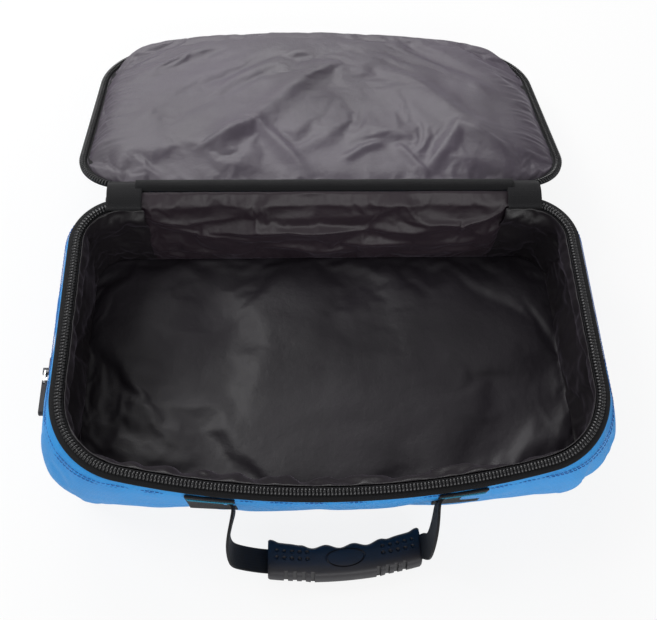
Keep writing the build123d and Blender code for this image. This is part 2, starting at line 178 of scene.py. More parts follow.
def frontEdge(size, inset, x):
    # how far the outline reaches forward and back at a distance x from the middle
    width, length, front, back, bow = size
    turn = radians(bow)
    half = width / 2 - inset
    frontR = front - inset
    backR = back - inset
    bigR = frontR + (half - frontR) / sin(turn)
    bigY = -(length - inset) + bigR
    sideEnd = bigY - (bigR - frontR) * cos(turn)
    x = np.abs(x)
    bowed = bigY - np.sqrt(np.maximum(bigR**2 - x**2, 0))
    cornerX = half - frontR
    rounded = sideEnd - np.sqrt(np.maximum(frontR**2 - np.clip(x - cornerX, 0, frontR) ** 2, 0))
    ahead = np.where(x > cornerX + frontR * sin(turn), rounded, bowed)
    behind = -inset - backR + np.sqrt(np.maximum(backR**2 - np.clip(x - (half - backR), 0, backR) ** 2, 0))
    return ahead, behind


def unit(vectors):
    return vectors / np.linalg.norm(vectors, axis=1)[:, None]


def selectNothing():
    if bpy.context.object and bpy.context.object.mode != "OBJECT":
        bpy.ops.object.mode_set(mode="OBJECT")
    bpy.ops.object.select_all(action="DESELECT")


def makeActive(piece):
    selectNothing()
    bpy.context.view_layer.objects.active = piece
    piece.select_set(True)


def coords(piece):
    co = np.zeros(len(piece.data.vertices) * 3)
    piece.data.vertices.foreach_get("co", co)
    return co.reshape(-1, 3)


def setCoords(piece, co):
    piece.data.vertices.foreach_set("co", np.asarray(co, float).ravel())
    piece.data.update()


def cloth(name, across, along, size, place, closed=False):
    # a panel cut flat with its weave squared to it, then bent to its place, given in millimetres
    selectNothing()
    bpy.ops.mesh.primitive_grid_add(x_subdivisions=across, y_subdivisions=along, size=2)
    piece = bpy.context.object
    piece.name = name
    piece.data.name = name
    flat = coords(piece)
    setCoords(piece, place((flat[:, 0] + 1) / 2, (flat[:, 1] + 1) / 2) * mm)
    uv = np.zeros(len(piece.data.loops) * 2)
    layer = piece.data.uv_layers.active.data
    layer.foreach_get("uv", uv)
    uv = uv.reshape(-1, 2) * np.array(size) * mm
    layer.foreach_set("uv", uv.ravel())
    if closed:
        makeActive(piece)
        bpy.ops.object.mode_set(mode="EDIT")
        bpy.ops.mesh.select_all(action="SELECT")
        bpy.ops.mesh.remove_doubles(threshold=0.00005)
        bpy.ops.object.mode_set(mode="OBJECT")
    bpy.ops.object.shade_smooth()
    return piece


def apply(piece, kind, **settings):
    makeActive(piece)
    modifier = piece.modifiers.new(kind.lower(), kind)
    for key, value in settings.items():
        setattr(modifier, key, value)
    bpy.ops.object.modifier_apply(modifier=modifier.name)


def thicken(piece, thickness, offset=-1.0):
    apply(piece, "SOLIDIFY", thickness=thickness * mm, offset=offset)


def refine(piece, levels=1):
    apply(piece, "SUBSURF", levels=levels, render_levels=levels)


def faceOut(piece):
    makeActive(piece)
    bpy.ops.object.mode_set(mode="EDIT")
    bpy.ops.mesh.select_all(action="SELECT")
    bpy.ops.mesh.normals_make_consistent(inside=False)
    bpy.ops.object.mode_set(mode="OBJECT")


def facing(piece, direction):
    # turns the whole panel over if most of it faces away from a direction
    normals = np.array([f.normal[:] for f in piece.data.polygons])
    areas = np.array([f.area for f in piece.data.polygons])
    if callable(direction):
        centres = np.array([f.center[:] for f in piece.data.polygons])
        wanted = direction(centres)
    else:
        wanted = np.array(direction)[None, :]
    if ((normals * wanted).sum(1) * areas).sum() < 0:
        makeActive(piece)
        bpy.ops.object.mode_set(mode="EDIT")
        bpy.ops.mesh.select_all(action="SELECT")
        bpy.ops.mesh.flip_normals()
        bpy.ops.object.mode_set(mode="OBJECT")


def rimOf(piece):
    # true for the vertices on a panel's open edge
    counts = {}
    for face in piece.data.polygons:
        for key in face.edge_keys:
            counts[key] = counts.get(key, 0) + 1
    edge = np.zeros(len(piece.data.vertices), bool)
    for key, used in counts.items():
        if used == 1:
            edge[list(key)] = True
    return edge


give = {"quality": 6, "mass": 0.15, "stretch": 25, "shear": 12, "bending": 0.15}  # how limp the fabric is


def settle(piece, pinned, slack, pressure, limit, frames=18):
    # cloth that is cut too large for its seams puckers; each point may move no further than the limit
    start = coords(piece)
    group = piece.vertex_groups.new(name="pinned")
    group.add([int(i) for i in np.nonzero(pinned)[0]], 1.0, "REPLACE")
    makeActive(piece)
    modifier = piece.modifiers.new("cloth", "CLOTH")
    settings = modifier.settings
    settings.quality = give["quality"]
    settings.mass = give["mass"]
    settings.tension_stiffness = give["stretch"]
    settings.compression_stiffness = give["stretch"]
    settings.shear_stiffness = give["shear"]
    settings.bending_stiffness = give["bending"]
    settings.shrink_min = -slack
    settings.vertex_group_mass = "pinned"
    settings.use_pressure = True
    settings.uniform_pressure_force = pressure
    settings.effector_weights.gravity = 0
    modifier.collision_settings.use_collision = False
    scene = bpy.context.scene
    for step in range(1, frames + 1):
        scene.frame_set(step)
    bpy.ops.object.modifier_apply(modifier=modifier.name)
    scene.frame_set(1)
    moved = coords(piece) - start
    far = np.linalg.norm(moved, axis=1)
    most = limit * mm
    scale = np.where(far > 1e-9, most * np.tanh(far / most) / np.maximum(far, 1e-9), 1.0)
    setCoords(piece, start + moved * scale[:, None])
    piece.vertex_groups.clear()


# shader maths as expressions
class Wire:
    def __init__(self, paint, socket):
        self.paint = paint
        self.socket = socket

    def maths(self, operation, first, second=0.5):
        return self.paint.node("ShaderNodeMath", {0: first, 1: second}, operation=operation)

    def __add__(self, other):
        return self.maths("ADD", self, other)

    def __radd__(self, other):
        return self.maths("ADD", other, self)

    def __sub__(self, other):
        return self.maths("SUBTRACT", self, other)

    def __rsub__(self, other):
        return self.maths("SUBTRACT", other, self)

    def __mul__(self, other):
        return self.maths("MULTIPLY", self, other)

    def __rmul__(self, other):
        return self.maths("MULTIPLY", other, self)

    def __pow__(self, other):
        return self.maths("POWER", self, other)

    def sin(self):
        return self.maths("SINE", self)

    def abs(self):
        return self.maths("ABSOLUTE", self)

    def clip(self):
        return self.paint.node("ShaderNodeClamp", {0: self})


class Paint:
    def __init__(self, name):
        self.material = bpy.data.materials.new(name)
        self.material.use_nodes = True
        self.nodes = self.material.node_tree.nodes
        self.links = self.material.node_tree.links
        self.shader = self.nodes["Principled BSDF"]

    def node(self, kind, sockets=None, output=0, **settings):
        made = self.nodes.new(kind)
        for key, value in settings.items():
            setattr(made, key, value)
        for key, value in (sockets or {}).items():
            if isinstance(value, Wire):
                self.links.new(value.socket, made.inputs[key])
            elif isinstance(value, tuple) and len(value) == 3 and made.inputs[key].type == "RGBA":
                made.inputs[key].default_value = (*value, 1)
            else:
                made.inputs[key].default_value = value
        return Wire(self, made.outputs[output])

    def noise(self, vector, scale, detail=3.0, roughness=0.5):
        return self.node(
            "ShaderNodeTexNoise", {"Vector": vector, "Scale": scale, "Detail": detail, "Roughness": roughness}
        )

    def place(self):
        return self.node("ShaderNodeTexCoord", output="Object")

    def woven(self):
        # the two directions of the weave, in metres
        uv = self.node("ShaderNodeUVMap", uv_map="UVMap")
        split = self.node("ShaderNodeSeparateXYZ", {0: uv})
        return split, Wire(self, split.socket.node.outputs[1])

    def blend(self, factor, low, high):
        return self.node("ShaderNodeMix", {0: factor, 6: low, 7: high}, output=2, data_type="RGBA")

    def bump(self, height, distance, strength=1.0, normal=None):
        sockets = {"Height": height, "Distance": distance, "Strength": strength}
        if normal:
            sockets["Normal"] = normal
        return self.node("ShaderNodeBump", sockets)

    def finish(self, **values):
        names = {
            "colour": "Base Color", "roughness": "Roughness", "metallic": "Metallic", "normal": "Normal",
            "sheen": "Sheen Weight", "sheenRoughness": "Sheen Roughness", "sheenTint": "Sheen Tint",
            "specular": "Specular IOR Level", "anisotropic": "Anisotropic",
        }
        for key, value in values.items():
            socket = self.shader.inputs[names[key]]
            if isinstance(value, Wire):
                self.links.new(value.socket, socket)
            elif isinstance(value, tuple):
                socket.default_value = (*value, 1)
            else:
                socket.default_value = value
        return self.material


def blueFabric():
    paint = Paint("blueFabric")
    u, v = paint.woven()
    thread = 2 * pi / 0.0009
    warp = (u * thread).sin()
    weft = (v * thread).sin()
    weave = warp * weft
    rib = 2 * pi / 0.0062
    grid = ((u * rib).sin() ** 40.0 + (v * rib).sin() ** 40.0).clip()
    place = paint.place()
    cloud = paint.noise(place, 14.0, 4.0)
    slub = paint.noise(place, 420.0, 2.0)
    tone = (cloud * 0.55 + slub * 0.35 + weave * 0.05 + grid * 0.16).clip()
    colour = paint.blend(tone, (0.014, 0.200, 0.56), (0.036, 0.37, 0.84))
    rough = (cloud * 0.18 + slub * 0.12 + 0.40).clip()
    creases = paint.noise(place, 46.0, 5.0, 0.6)
    folded = paint.bump(creases, 0.0016, 0.55)
    normal = paint.bump(weave * 0.5 + grid * 0.9 + slub * 0.5, 0.00016, 0.8, folded)
    return paint.finish(
        colour=colour, roughness=rough, normal=normal, sheen=0.06, sheenRoughness=0.4,
        sheenTint=(0.35, 0.65, 1.0), specular=0.30,
    )


def satin(name, dark, light, shine):
    paint = Paint(name)
    u, v = paint.woven()
    thread = 2 * pi / 0.0008
    weave = (u * thread).sin() * (v * thread * 0.5).sin()
    place = paint.place()
    cloud = paint.noise(place, 9.0, 4.0)
    fine = paint.noise(place, 700.0, 2.0)
    colour = paint.blend((cloud * 1.5 - 0.3 + fine * 0.25).clip(), dark, light)
    rough = (cloud * 0.14 + fine * 0.10 + shine).clip()
    creases = paint.noise(place, 30.0, 6.0, 0.55)
    folded = paint.bump(creases, 0.003, 0.5)
    normal = paint.bump(weave * 0.5 + fine, 0.00008, 0.6, folded)
    return paint.finish(
        colour=colour, roughness=rough, normal=normal, sheen=0.12, sheenRoughness=0.35,
        sheenTint=(0.85, 0.74, 0.95), specular=0.46, anisotropic=0.35,
    )


def tapeFabric(name, base, ridge):
    paint = Paint(name)
    u, v = paint.woven()
    wale = 2 * pi / 0.0012
    slant = ((u + (v * (2 * pi / 0.004)).sin().abs() * 0.001) * wale).sin()
    fuzz = paint.noise(paint.place(), 900.0, 3.0)
    worn = paint.noise(paint.place(), 40.0, 4.0)
    colour = paint.blend((slant * 0.3 + fuzz * 0.5 + worn * 0.3).clip(), base, ridge)
    normal = paint.bump(slant * 0.6 + fuzz * 0.6, 0.0002, 0.9)
    rough = (fuzz * 0.2 + worn * 0.1 + 0.6).clip()
    return paint.finish(colour=colour, roughness=rough, normal=normal, sheen=0.05, specular=0.22)


def moulded(name, base, light, rough, grain=500.0, shine=0.4):
    paint = Paint(name)
    place = paint.place()
    pits = paint.noise(place, grain, 3.0)
    worn = paint.noise(place, 60.0, 5.0, 0.6)
    colour = paint.blend((pits * 0.6 + worn * 0.6 - 0.2).clip(), base, light)
    normal = paint.bump(pits, 0.00012, 0.7)
    rough = (worn * 0.2 + pits * 0.1 + rough).clip()
    return paint.finish(colour=colour, roughness=rough, normal=normal, specular=shine)


def metal(name, base, light, rough):
    paint = Paint(name)
    place = paint.place()
    scuffs = paint.noise(place, 300.0, 5.0, 0.65)
    colour = paint.blend(scuffs, base, light)
    normal = paint.bump(scuffs, 0.00005, 0.5)
    return paint.finish(colour=colour, roughness=(scuffs * 0.25 + rough).clip(), normal=normal, metallic=1.0)


finishes = {
    "blue_fabric": blueFabric(),
    "base_fabric": tapeFabric("baseFabric", (0.012, 0.014, 0.018), (0.035, 0.04, 0.05)),
    "board": moulded("board", (0.02, 0.02, 0.02), (0.05, 0.05, 0.05), 0.6),
    "foam": moulded("foam", (0.10, 0.10, 0.11), (0.2, 0.2, 0.21), 0.8, 250.0, 0.2),
    "satin_lining": satin("satinLining", (0.009, 0.0075, 0.010), (0.022, 0.0185, 0.024), 0.38),
    # painted shade: the floor's satin again, coloured darker for the shaded side and front walls
    "shaded_wall_satin": satin("shadedWallSatin", (0.006, 0.005, 0.006), (0.014, 0.0115, 0.014), 0.34),
    # painted light: the floor's satin again, coloured a little lighter for the lit back wall
    "back_painted_light_satin": satin("backPaintedLightSatin", (0.012, 0.008, 0.011), (0.030, 0.020, 0.027), 0.36),
    # painted light: the floor's satin again, coloured much lighter for the lid, which faces the lamps
    "lit_lid_satin": satin("litLidSatin", (0.026, 0.020, 0.029), (0.062, 0.050, 0.070), 0.36),
    "zip_tape": tapeFabric("zipTape", (0.003, 0.003, 0.0035), (0.011, 0.011, 0.013)),
    "zip_coil": moulded("zipCoil", (0.004, 0.004, 0.005), (0.014, 0.014, 0.016), 0.16, 600.0, 0.6),
    "webbing": tapeFabric("webbing", (0.003, 0.003, 0.004), (0.014, 0.014, 0.017)),
    "rubber": moulded("rubber", (0.009, 0.0085, 0.011), (0.022, 0.020, 0.026), 0.34, 700.0, 0.42),
    "slider_metal": metal("sliderMetal", (0.03, 0.03, 0.033), (0.10, 0.10, 0.11), 0.32),
    "ring_metal": metal("ringMetal", (0.45, 0.46, 0.48), (0.72, 0.73, 0.75), 0.16),
    "blue_thread": moulded("blueThread", (0.02, 0.10, 0.34), (0.05, 0.19, 0.52), 0.5, 900.0),
    "teal_thread": moulded("tealThread", (0.01, 0.16, 0.28), (0.03, 0.32, 0.48), 0.5, 900.0),
}


def dress(piece, slot, body=None, paint=None, hides=()):
    piece.data.materials.clear()
    piece.data.materials.append(finishes[paint or slot])
    if body:
        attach(piece, body)
    if hides:
        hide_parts(*hides)
    return piece


for nodeName, node in frame["nodes"].items():
    slotName = next(s["material_slot"] for s in frame["record"]["subparts"] if s["node"] == nodeName)
    node.data.materials.clear()
    node.data.materials.append(finishes[slotName])
print("stage: materials made")


def smallBar(length, radius, hump):
    # one short length of thread or coil, rounded at its ends and humped in the middle
    selectNothing()
    bpy.ops.mesh.primitive_cylinder_add(
        vertices=7, radius=radius * mm, depth=length * mm, rotation=(0, pi / 2, 0)
    )
    bar = bpy.context.object
    bpy.ops.object.transform_apply(location=False, rotation=True, scale=False)
    for face in bar.data.polygons:
        face.select = abs(face.normal.x) > 0.9
    bpy.ops.object.mode_set(mode="EDIT")
    bpy.ops.mesh.select_mode(type="FACE")
    bpy.ops.mesh.inset(thickness=radius * 0.42 * mm, depth=radius * 0.4 * mm)
    bpy.ops.mesh.select_all(action="SELECT")
    bpy.ops.mesh.bisect(plane_co=(0, 0, 0), plane_no=(1, 0, 0))
    bpy.ops.mesh.select_mode(type="VERT")
    bpy.ops.mesh.select_all(action="DESELECT")
    bpy.ops.object.mode_set(mode="OBJECT")
    for vertex in bar.data.vertices:
        vertex.select = abs(vertex.co.x) < length * 0.05 * mm
    bpy.ops.object.mode_set(mode="EDIT")
    bpy.ops.transform.translate(value=(0, 0, hump * mm))
    bpy.ops.mesh.select_mode(type="FACE")
    bpy.ops.object.mode_set(mode="OBJECT")
    bpy.ops.object.shade_smooth()
    return bar


def copyAlong(name, bar, spots, ways, ups, paint, slot, body, hides=()):
    # sets a copy of the bar at each spot, lying along its way with its hump up, and joins them
    ways = unit(ways)
    cross = unit(np.cross(ups, ways))
    ups = np.cross(ways, cross)
    copies = []
    for spot, way, side, up in zip(spots, ways, cross, ups):
        copied = bar.copy()
        copied.data = bar.data.copy()
        turned = Matrix((Vector(way), Vector(side), Vector(up))).transposed().to_4x4()
        copied.matrix_world = Matrix.Translation(Vector(spot) * mm) @ turned
        bpy.context.scene.collection.objects.link(copied)
        copies.append(copied)
    bpy.data.objects.remove(bar)
    dress(joinAll(copies, name), slot, body, paint, hides)


def joinAll(pieces, name):
    makeActive(pieces[0])
    for piece in pieces:
        piece.select_set(True)
    bpy.ops.object.join()
    joined = bpy.context.object
    joined.name = name
    bpy.ops.object.transform_apply(location=True, rotation=True, scale=True)
    return joined


def stitches(name, spots, ways, ups, length, radius, paint, slot, body):
    copyAlong(name, smallBar(length, radius, radius * 0.9), spots, ways, ups, paint, slot, body)


def sample(marks, run, values):
    # reads a list of vectors at marks along its run
    return np.stack([np.interp(marks, run, values[:, k]) for k in range(3)], 1)


def paced(path, pitch):
    # how far along each point of a path is, and marks at an even pitch
    steps = np.linalg.norm(np.diff(path, axis=0), axis=1)
    run = np.concatenate([[0], np.cumsum(steps)])
    return run, np.arange(pitch / 2, run[-1], pitch)


def evenly(path, pitch):
    # points at an even pitch along a path, with their directions
    run, marks = paced(path, pitch)
    return sample(marks, run, path), sample(marks + 0.5, run, path) - sample(marks - 0.5, run, path)


# blue walls of the tub
walls = {"around": 320, "up": 26, "puff": 0.3, "tuck": 6.0, "slack": 0.018}
wallTop = tapeTop - 1.0


def wallPlace(u, v):
    z = v * wallTop
    tucked = walls["tuck"] * np.clip(1 - z / 9, 0, 1) ** 2.2
    puff = walls["puff"] * np.sin(pi * v) ** 0.7
    points = tubPoint(u, z, tucked - puff * (1 - 0.8 * bump(u, 0.5, 0.11)))
    points[:, 1] += 3.5 * bump(u, 0.5, 0.12) * smooth(85, 20, z)
    lumps = ripple(points * [1, 1, 1.6], 52.0, 1) * 1.5 + ripple(points * [1, 1, 2.2], 17.0, 2) * 0.5
    outward = unit((points - tubMiddle) * [1, 1, 0])
    atSides = smooth(0.05, 0.12, np.minimum(u, 1 - u))
    return points + outward * (lumps * np.sin(pi * v) * atSides)[:, None]


tubWalls = cloth("tubWalls", walls["around"], walls["up"], (1290, 104), wallPlace, closed=True)
facing(tubWalls, lambda centres: (centres - np.array([0, 0, 0.05])) * [1, 1, 0])
heights = coords(tubWalls)[:, 2]
settle(tubWalls, (heights < 0.001) | (heights > (wallTop - 1) * mm), walls["slack"], pressure=0.6, limit=4.0)
refine(tubWalls)
thicken(tubWalls, 1.0)
dress(tubWalls, "blue_fabric", "tub",
      hides=("front_wall", "side_wall_left", "side_wall_right", "back_wall",
             "front_foam", "side_foam_left", "side_foam_right", "back_foam"))
print("stage: blue walls made")

# base
base = {"across": 60, "along": 34, "height": 0.05}


def basePlace(u, v):
    inset = walls["tuck"] - 0.5
    x = (u * 2 - 1) * (bag["base"][0] / 2 - inset)
    ahead, behind = frontEdge(bag["base"], inset, x * 0.999)
    return np.stack([x, backY + mix(ahead, behind, v), base["height"] + 0 * x], 1)


basePanel = cloth("basePanel", base["across"], base["along"], (422, 250), basePlace)
facing(basePanel, (0, 0, -1))
thicken(basePanel, 1.6, -1)
dress(basePanel, "base_fabric", "tub", hides=("base_panel", "base_board"))

# satin lining of the floor, over its pad
floor = {"across": 110, "along": 64, "slack": 0.03}


def padEdge(u, k=0.55):
    s = u * 2 - 1
    return (1 - k) * s + k * np.sin(pi * s / 2)


def floorPlace(u, v):
    size = [float(s) for s in tubSize(np.array(floorTop))]
    inset = 8.0
    x = padEdge(u) * (size[0] / 2 - inset)
    ahead, behind = frontEdge(size, inset, x * 0.9995)
    y = backY + mix(ahead, behind, v)
    points = np.stack([x, y, floorTop + 0 * x], 1)
    edge = np.minimum.reduce([u, 1 - u, v * 0.6, (1 - v) * 0.6]) * size[0]
    crown = 2.2 * (1 - np.exp(-edge / 12))
    soft = ripple(points * [1, 0.7, 1], 70.0, 3) * 2.4 + ripple(points * [0.8, 1.4, 1], 30.0, 4) * 0.9
    points[:, 2] += crown - 2.0 + soft * (1 - np.exp(-edge / 18))
    return points


floorLining = cloth("floorLining", floor["across"], floor["along"], (420, 240), floorPlace)
facing(floorLining, (0, 0, 1))
settle(floorLining, rimOf(floorLining), floor["slack"], pressure=0.25, limit=4.0, frames=22)
refine(floorLining)
thicken(floorLining, 0.8)
dress(floorLining, "satin_lining", "tub", hides=("floor_lining", "floor_pad"))
print("stage: floor made")

# satin lining of the side and front walls, a band from the zip tape down to the floor
band = {"around": 330, "down": 26, "inset": 9.0, "roll": 6.0, "puff": 6.0, "slack": 0.06, "seam": 156.0}
lowest = floorTop - 2.0


def bandPlace(u, v):
    z = mix(lowest, tapeTop + 0.4, v)
    sizes = tubSize(z)
    seam = legEnds[1] / 2 * (band["seam"] - 2) / (sizes[0] / 2 - sizes[3])
    t = mix(seam, 1 - seam, u)
    roll = band["roll"] * bump(v, 0.86, 0.13) + 2.0 * np.sin(pi * v)
    points = tubPoint(t, z, band["inset"] + roll)
    ends = smooth(0, 0.02, u) * smooth(1, 0.98, u)
    front = smooth(0.62, 0.8, np.abs(t - 0.5) * -2 + 1)
    gathers = ripple(points * [1, 1, 0.35], 13.0, 6) * 3.6 + ripple(points * [1, 1, 0.8], 6.0, 13) * 1.5
    pucker = gathers * (0.35 + 0.9 * bump(v, 0.8, 0.22)) * (0.7 + 0.5 * front)
    amount = (pucker + ripple(points, 34.0, 5) * 2.5) * np.sin(pi * v) ** 0.55 * ends
    inward = unit((tubMiddle - points) * [1, 1, 0])
    return points + inward * amount[:, None]


def toMiddle(centres):
    return (np.array([0, 0, 0.05]) - centres) * [1, 1, 0]


wallLining = cloth("wallLining", band["around"], band["down"], (900, 84), bandPlace)
facing(wallLining, toMiddle)
settle(wallLining, rimOf(wallLining), band["slack"], pressure=0.9, limit=band["puff"], frames=20)
refine(wallLining)
thicken(wallLining, 0.7)
# the wall band takes the darker satin, painted shade of the walls
dress(wallLining, "satin_lining", "tub", "shaded_wall_satin", hides=("wall_lining",))

# the back panel of the lining runs up and over the wall to the hinge
backPanel = {"across": 150, "down": 40, "slack": 0.04, "puff": 5.0}
backCreases = (
    (((-150, 66), (-60, 74), (40, 72), (150, 78)), 4.0, 3.0),
    (((-152, 84), (-120, 80), (-70, 88)), 2.5, 1.6),
    (((-152, 76), (-110, 66), (-40, 62)), 3.0, 2.0),
    (((-140, 34), (-60, 42), (30, 38)), 4.0, 2.4),
    (((60, 30), (110, 40), (152, 36)), 3.5, 2.2),
    (((152, 88), (120, 80), (60, 84)), 3.0, 1.8),
    (((10, 50), (80, 56), (150, 52)), 5.0, 2.0),
)


def backPlace(u, v):
    z = mix(lowest, rimHeight + 1.0, v)
    x = (u * 2 - 1) * (band["seam"] + 1.0 + 3.5 * smooth(0.8, 0.95, v))
    depth = np.interp(v, (0, 0.25, 0.55, 0.8, 0.93, 0.97, 1.0), (9.0, 11.0, 11.0, 9.5, 7.0, 3.0, -2.8))
    pillow = 3.0 * np.sin(pi * np.clip(v / 0.97, 0, 1)) ** 0.8 * (1 - np.exp(-(1 - np.abs(u * 2 - 1)) * 22))
    amount = ripple(np.stack([x * 0.3, 0 * x, z], 1), 12.0, 14) * 1.6
    for path, width, height in backCreases:
        amount = amount + crease(x, z, path, width, height)
    amount = amount * np.sin(pi * v) ** 0.6 * smooth(0, 0.03, u) * smooth(1, 0.97, u)
    return np.stack([x, backY - depth - pillow - amount, z], 1)


backLining = cloth("backLining", backPanel["across"], backPanel["down"], (312, 95), backPlace)
facing(backLining, (0, -1, 0.2))
settle(backLining, rimOf(backLining), backPanel["slack"], pressure=0.4, limit=backPanel["puff"], frames=20)
refine(backLining)
thicken(backLining, 0.7)
# the back panel takes its own satin colour, painted light of the back wall
dress(backLining, "satin_lining", "tub", "back_painted_light_satin", hides=("back_lining",))
print("stage: wall lining made")

# zip tapes and coils
zipper = {"pitch": 2.7, "end": 158.0, "tape": 1.0, "thick": 0.86}


def zipSpan(size, inset):
    # where the zip starts and stops on the outline, as shares of the way round
    t = np.linspace(0, 0.2, 4001)
    x, y = outline(size, inset, t)
    first = t[np.argmax(x >= zipper["end"])]
    return first, 1 - first


def tapeBand(name, point, size, outer, inner, top, body, hides):
    first, last = zipSpan(size, (outer + inner) / 2)

    def place(u, v):
        return point(mix(first, last, u), top + 0 * u, mix(outer, inner, v))

    piece = cloth(name, 420, 4, (1130, abs(inner - outer)), place)
    facing(piece, (0, 0.2, 1))
    thicken(piece, zipper["tape"])
    dress(piece, "zip_tape", body, hides=hides)


def coilTeeth(name, point, size, outer, inner, top, body, hides):
    first, last = zipSpan(size, (outer + inner) / 2)
    t = np.linspace(first, last, 3000)
    pathIn = point(t, top, inner)
    pathOut = point(t, top, outer)
    centre = (pathIn + pathOut) / 2
    spots, ways = evenly(centre, zipper["pitch"])
    run, marks = paced(centre, zipper["pitch"])
    across = sample(marks, run, pathOut - pathIn)
    ups = np.cross(across, ways)
    ups = unit(ups * np.sign(ups[:, 2:3]))
    # each turn of the coil lies a little aslant across the tape
    slanted = unit(across) + 0.12 * unit(ways)
    tooth = smallBar(abs(outer - inner) - 0.6, zipper["thick"], 0.9)
    copyAlong(name, tooth, spots + ups, slanted, ups, "zip_coil", "zip_coil", body, hides)
    chain, chainWay = evenly(point(t, top, mix(outer, inner, 0.62)), zipper["pitch"])
    upright = np.tile([0, 0.0, 1.0], (len(chain), 1))
    stitches(name + "Chain", chain + np.array([0, 0, 2.55]), chainWay, upright, 2.5, 0.34,
             "zip_tape", "zip_tape", body)


tapeBand("tubZipTape", tubPoint, bag["rim"], -1.0, 9.6, tapeTop, "tub", ("tub_zip_tape",))
coilTeeth("tubZipCoil", tubPoint, bag["rim"], 3.4, 8.8, tapeTop, "tub", ("tub_zip_coil",))
lidTapeHeight = -bag["tapeBelow"]
tapeBand("lidZipTape", lidPoint, bag["lid"], -3.0, 12.0, lidTapeHeight, "lid", ("lid_zip_tape",))
coilTeeth("lidZipCoil", lidPoint, bag["lid"], -3.0, 3.0, lidTapeHeight, "lid", ("lid_zip_coil",))
print("stage: zips made")

# satin lining of the lid, puffed over its padding and gathered into the tape at both sides
dome = {
    "across": 190, "along": 116, "slack": 0.03, "rise": 12.5,
    "side": 4.6, "near": -3.0, "far": (-2.6, 0.6),  # how far in from the lid's outline it is sewn
}
lidCreases = (
    (((-135, 30), (-60, 91), (-14, 163), (44, 218)), 13.0, 6.5),
    (((40, 220), (92, 151), (131, 91), (172, 36)), 13.0, 6.0),
    (((-196, 72), (-102, 133), (-57, 181), (10, 236)), 12.0, 4.5),
    (((-120, 38), (-60, 82), (-8, 8)), 8.0, 5.0),
    (((84, 8), (125, 76), (178, 28)), 8.0, 5.0),
    (((14, 34), (34, 52), (58, 62)), 5.0, 3.2),
    (((64, 60), (76, 40), (92, 12)), 5.0, 3.2),
    (((-190, 150), (-140, 196), (-96, 236)), 11.0, 3.2),
    (((70, 236), (124, 188), (176, 118)), 11.0, 3.2),
    (((-40, 40), (0, 62), (30, 98)), 9.0, 2.0),
)


def domePlace(u, v):
    half = bag["lid"][0] / 2 - dome["side"]
    x = padEdge(u) * half
    ahead, behind = frontEdge(bag["lid"], dome["side"], x * 0.9995)
    leftPuff = smooth(40, -110, x)
    reachFar = mix(dome["far"][1], dome["far"][0], leftPuff)
    corner = smooth(half, half - 30, np.abs(x))
    ahead = mix(ahead, ahead - (dome["side"] - reachFar), corner)
    behind = mix(behind, behind + dome["side"] - dome["near"], smooth(half - 20, half - 55, np.abs(x)))
    along = bag["lidGap"] - mix(behind, ahead, v)
    reach = half - np.abs(x)
    fromFar = (1 - v) * (behind - ahead)
    fromNear = v * (behind - ahead)
    shape = (1 - np.exp(-reach / 11)) * (1 - np.exp(-fromFar / 9)) * (1 - np.exp(-fromNear / 16))
    flatPoints = np.stack([x, along, 0 * x], 1)
    folds = ripple(flatPoints * [1, 0.8, 1], 55.0, 7) * 2.0 + ripple(flatPoints, 21.0, 8) * 0.8
    for path, width, height in lidCreases:
        folds = folds + crease(x, along, path, width, height)
    slant = np.stack([x * 0.16, along + np.abs(x) * 0.25, 0 * x], 1)
    pleats = ripple(slant, 4.6, 9) * 2.4 * np.exp(-((reach / 26) ** 2)) * smooth(30, 70, along)
    border = lidTapeHeight - 0.4 + 4.6 * smooth(24, 4, fromFar) * corner
    height = border + dome["rise"] * shape + (folds * 0.9 + pleats * 1.3) * shape - 2.0 * shape
    return fromLid(x, along, height)


lidLining = cloth("lidLining", dome["across"], dome["along"], (420, 252), domePlace)
facing(lidLining, (0, 0, 1))
settle(lidLining, rimOf(lidLining), dome["slack"], pressure=0.3, limit=3.5, frames=16)
refine(lidLining)
thicken(lidLining, 0.8)
# the lid lining takes the lighter satin, painted light of the lid
dress(lidLining, "satin_lining", "lid", "lit_lid_satin", hides=("lid_lining", "lid_padding"))
print("stage: lid lining made")

# outside of the lid
shellSizes = {"around": 300, "up": 10, "depth": 32.0, "inset": 9.0, "crown": 13.0}


def lidWallPlace(u, v):
    depth = mix(shellSizes["depth"], 6.4, v)
    inset = shellSizes["inset"] + shellSizes["crown"] * (depth / shellSizes["depth"]) ** 1.6
    return lidPoint(u, -depth, inset - 1.2 * np.sin(pi * v))


lidWall = cloth("lidWall", shellSizes["around"], shellSizes["up"], (1250, 28), lidWallPlace, closed=True)
facing(lidWall, lambda centres: centres - np.array([0, (hingeY + 130) * mm, centres[:, 2].mean()]))
thicken(lidWall, 1.0)
dress(lidWall, "blue_fabric", "lid", hides=("lid_wall", "lid_foam"))


def lidPanelPlace(u, v):
    inset = shellSizes["inset"] + shellSizes["crown"] - 0.4
    x = padEdge(u) * (bag["lid"][0] / 2 - inset)
    ahead, behind = frontEdge(bag["lid"], inset, x * 0.9995)
    along = bag["lidGap"] - mix(behind, ahead, v)
    points = np.stack([x, along, 0 * x], 1)
    soft = ripple(points, 60.0, 11) * 0.8
    edge = np.minimum.reduce([(1 - np.abs(u * 2 - 1)) * 3, (1 - np.abs(v * 2 - 1)) * 3, 1 + 0 * u])
    return fromLid(x, along, -shellSizes["depth"] + 0.4 + np.abs(soft) * edge)


lidPanel = cloth("lidPanel", 90, 56, (380, 220), lidPanelPlace)
facing(lidPanel, (0, 0, -1))
thicken(lidPanel, 1.0)
dress(lidPanel, "blue_fabric", "lid", hides=("lid_panel",))
print("stage: lid outside made")

